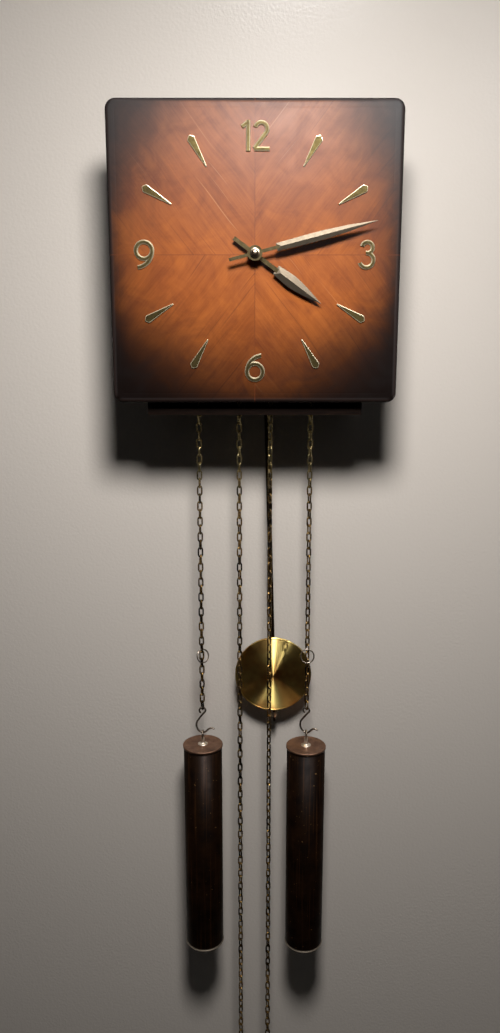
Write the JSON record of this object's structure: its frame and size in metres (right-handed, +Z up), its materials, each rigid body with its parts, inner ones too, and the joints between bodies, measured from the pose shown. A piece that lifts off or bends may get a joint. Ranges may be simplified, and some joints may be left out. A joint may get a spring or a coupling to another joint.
{
  "type": "weight-driven wall clock",
  "caption": "Square wooden-faced wall clock with weights on link chains, a pendulum with a disc bob, and a striking movement in a shallow case.",
  "frame": {"origin": "the middle of the hanger plate's round wall-hook hole, on the wall plane", "axes": "+Z up, +Y into the wall, +X to the right as seen from the front; the dial faces -Y"},
  "size_m": [0.26, 0.1283, 1.0326],
  "materials": {
    "face_veneer": "satin lacquer",
    "dial_brass": "aged, polished bevels",
    "hand_brass": "aged, faceted",
    "nut_brass": "turned",
    "case_wood": "dark stain, satin",
    "back_board": "plain hardboard",
    "zinc_steel": "zinc plated",
    "plate_brass": "brushed",
    "wheel_brass": "cut and polished",
    "arbor_steel": "ground",
    "gong_steel": "blued",
    "gong_iron": "painted",
    "rod_steel": "dark lacquer",
    "bob_brass": "spun",
    "weight_brass": "patinated tube",
    "cap_brass": "turned lid",
    "weight_iron": "as cast",
    "chain_brass": "antique plated wire",
    "ring_steel": "plated wire"
  },
  "bodies": {
    "case": {"face_board": "face_veneer", "numerals": "dial_brass", "hour_markers": "dial_brass", "case_top": "case_wood", "case_side_left": "case_wood", "case_side_right": "case_wood", "case_bottom": "case_wood", "back_panel": "back_board", "hanger_plate": "zinc_steel", "hanger_screws": "zinc_steel", "rear_plate": "plate_brass", "front_plate": "plate_brass", "movement_pillars": "arbor_steel", "pillar_nuts": "plate_brass", "movement_spacers": "arbor_steel", "gong_block": "gong_iron", "gong_rods": "gong_steel", "suspension_bracket": "plate_brass", "suspension_spring": "arbor_steel", "minute_wheel_stud": "arbor_steel"},
    "minute_hand": {"minute_hand": "hand_brass", "hand_nut": "nut_brass", "cannon_pinion": "wheel_brass"},
    "hour_hand": {"hour_hand": "hand_brass", "hour_wheel": "wheel_brass"},
    "minute_wheel": {"minute_wheel": "wheel_brass"},
    "escape_wheel": {"escape_wheel": "wheel_brass"},
    "third_wheel": {"third_wheel": "wheel_brass"},
    "centre_wheel": {"centre_wheel": "wheel_brass"},
    "second_wheel": {"second_wheel": "wheel_brass"},
    "great_wheel_time": {"great_wheel_time": "wheel_brass", "click_time": "arbor_steel"},
    "fly": {"fly": "arbor_steel"},
    "pin_wheel": {"pin_wheel": "wheel_brass"},
    "great_wheel_strike": {"great_wheel_strike": "wheel_brass", "click_strike": "arbor_steel"},
    "chain_wheel_time": {"chain_wheel_time": "wheel_brass"},
    "chain_wheel_strike": {"chain_wheel_strike": "wheel_brass"},
    "hammer": {"hammer": "arbor_steel"},
    "anchor": {"anchor": "arbor_steel"},
    "pendulum": {"pendulum_rod": "rod_steel", "bob_shell": "bob_brass", "bob_weight": "weight_iron", "rating_nut": "nut_brass"},
    "weight_left": {"weight_shell_left": "weight_brass", "weight_core_left": "weight_iron", "weight_cap_left": "cap_brass", "chain_hook_left": "chain_brass", "stop_ring_left": "ring_steel", "chain_hanging_left": "chain_brass"},
    "chain_free_left": {"chain_free_left": "chain_brass", "end_ring_left": "ring_steel"},
    "weight_right": {"weight_shell_right": "weight_brass", "weight_core_right": "weight_iron", "weight_cap_right": "cap_brass", "chain_hook_right": "chain_brass", "stop_ring_right": "ring_steel", "chain_hanging_right": "chain_brass"},
    "chain_free_right": {"chain_free_right": "chain_brass", "end_ring_right": "ring_steel"}
  },
  "joints": [
    {"name": "minute_hand_turn", "type": "hinge", "parent": "case", "child": "minute_hand", "pos_m": [0, -0.12, -0.088], "axis": [0, 1, 0], "continuous": true},
    {"name": "minute_wheel_turn", "type": "hinge", "parent": "case", "child": "minute_wheel", "pos_m": [0, -0.084, -0.104], "axis": [0, 1, 0], "continuous": true},
    {"name": "hour_hand_turn", "type": "hinge", "parent": "case", "child": "hour_hand", "pos_m": [0, -0.116, -0.088], "axis": [0, 1, 0], "continuous": true},
    {"name": "escape_wheel_turn", "type": "hinge", "parent": "case", "child": "escape_wheel", "pos_m": [0.0072, -0.048, -0.0628], "axis": [0, 1, 0], "continuous": true},
    {"name": "third_wheel_turn", "type": "hinge", "parent": "case", "child": "third_wheel", "pos_m": [-0.0117, -0.041, -0.06964], "axis": [0, 1, 0], "continuous": true},
    {"name": "centre_wheel_turn", "type": "hinge", "parent": "case", "child": "centre_wheel", "pos_m": [0, -0.045, -0.088], "axis": [0, 1, 0], "continuous": true},
    {"name": "second_wheel_turn", "type": "hinge", "parent": "case", "child": "second_wheel", "pos_m": [0.02625, -0.068, -0.09231], "axis": [0, 1, 0], "continuous": true},
    {"name": "great_wheel_time_turn", "type": "hinge", "parent": "case", "child": "great_wheel_time", "pos_m": [0.0356, -0.062, -0.125], "axis": [0, 1, 0], "continuous": true},
    {"name": "fly_turn", "type": "hinge", "parent": "case", "child": "fly", "pos_m": [-0.04656, -0.05, -0.08059], "axis": [0, 1, 0], "continuous": true},
    {"name": "pin_wheel_turn", "type": "hinge", "parent": "case", "child": "pin_wheel", "pos_m": [-0.02625, -0.072, -0.09231], "axis": [0, 1, 0], "continuous": true},
    {"name": "great_wheel_strike_turn", "type": "hinge", "parent": "case", "child": "great_wheel_strike", "pos_m": [-0.0356, -0.062, -0.125], "axis": [0, 1, 0], "continuous": true},
    {"name": "hammer_lift", "type": "hinge", "parent": "case", "child": "hammer", "pos_m": [-0.052, -0.07, -0.058], "axis": [0, 1, 0], "range_deg": [-15, 0], "stiffness_Nm_per_rad": 0.012, "springref_deg": 28.65},
    {"name": "pendulum_swing", "type": "hinge", "parent": "case", "child": "pendulum", "pos_m": [0.0072, -0.0216, -0.043], "axis": [0, 1, 0], "range_deg": [-1.58, 4.82]},
    {"name": "anchor_rock", "type": "hinge", "parent": "case", "child": "anchor", "pos_m": [0.0072, -0.048, -0.043], "axis": [0, 1, 0], "range_deg": [-1.6, 4.84]},
    {"name": "weight_left_rise", "type": "slide", "parent": "case", "child": "weight_left", "axis": [0, 0, 1], "range_m": [0, 0.249], "deforming": ["chain_hanging_left"]},
    {"name": "chain_free_left_drop", "type": "slide", "parent": "case", "child": "chain_free_left", "axis": [0, 0, 1], "range_m": [-0.2495, 0], "deforming": ["chain_free_left"]},
    {"name": "chain_wheel_strike_turn", "type": "hinge", "parent": "case", "child": "chain_wheel_strike", "pos_m": [-0.0356, -0.054, -0.125], "axis": [0, 1, 0], "range_deg": [0, 700.5]},
    {"name": "weight_right_rise", "type": "slide", "parent": "case", "child": "weight_right", "axis": [0, 0, 1], "range_m": [0, 0.249], "deforming": ["chain_hanging_right"]},
    {"name": "chain_free_right_drop", "type": "slide", "parent": "case", "child": "chain_free_right", "axis": [0, 0, 1], "range_m": [-0.2495, 0], "deforming": ["chain_free_right"]},
    {"name": "chain_wheel_time_turn", "type": "hinge", "parent": "case", "child": "chain_wheel_time", "pos_m": [0.0356, -0.054, -0.125], "axis": [0, 1, 0], "range_deg": [-700.5, 0]}
  ],
  "couplings": [
    {"joint": "minute_wheel_turn", "follows": "minute_hand_turn", "ratio": -0.33333},
    {"joint": "hour_hand_turn", "follows": "minute_hand_turn", "ratio": 0.083333},
    {"joint": "third_wheel_turn", "follows": "escape_wheel_turn", "ratio": -0.11667},
    {"joint": "centre_wheel_turn", "follows": "escape_wheel_turn", "ratio": 0.013611},
    {"joint": "second_wheel_turn", "follows": "escape_wheel_turn", "ratio": -0.0022685},
    {"joint": "great_wheel_time_turn", "follows": "escape_wheel_turn", "ratio": 0.00030247},
    {"joint": "pin_wheel_turn", "follows": "fly_turn", "ratio": -0.11667},
    {"joint": "great_wheel_strike_turn", "follows": "fly_turn", "ratio": 0.015556},
    {"joint": "anchor_rock", "follows": "pendulum_swing", "ratio": 1},
    {"joint": "chain_free_left_drop", "follows": "weight_left_rise", "ratio": -1},
    {"joint": "chain_wheel_strike_turn", "follows": "weight_left_rise", "rad_per_m": 49.087},
    {"joint": "chain_free_right_drop", "follows": "weight_right_rise", "ratio": -1},
    {"joint": "chain_wheel_time_turn", "follows": "weight_right_rise", "rad_per_m": -49.087}
  ]
}
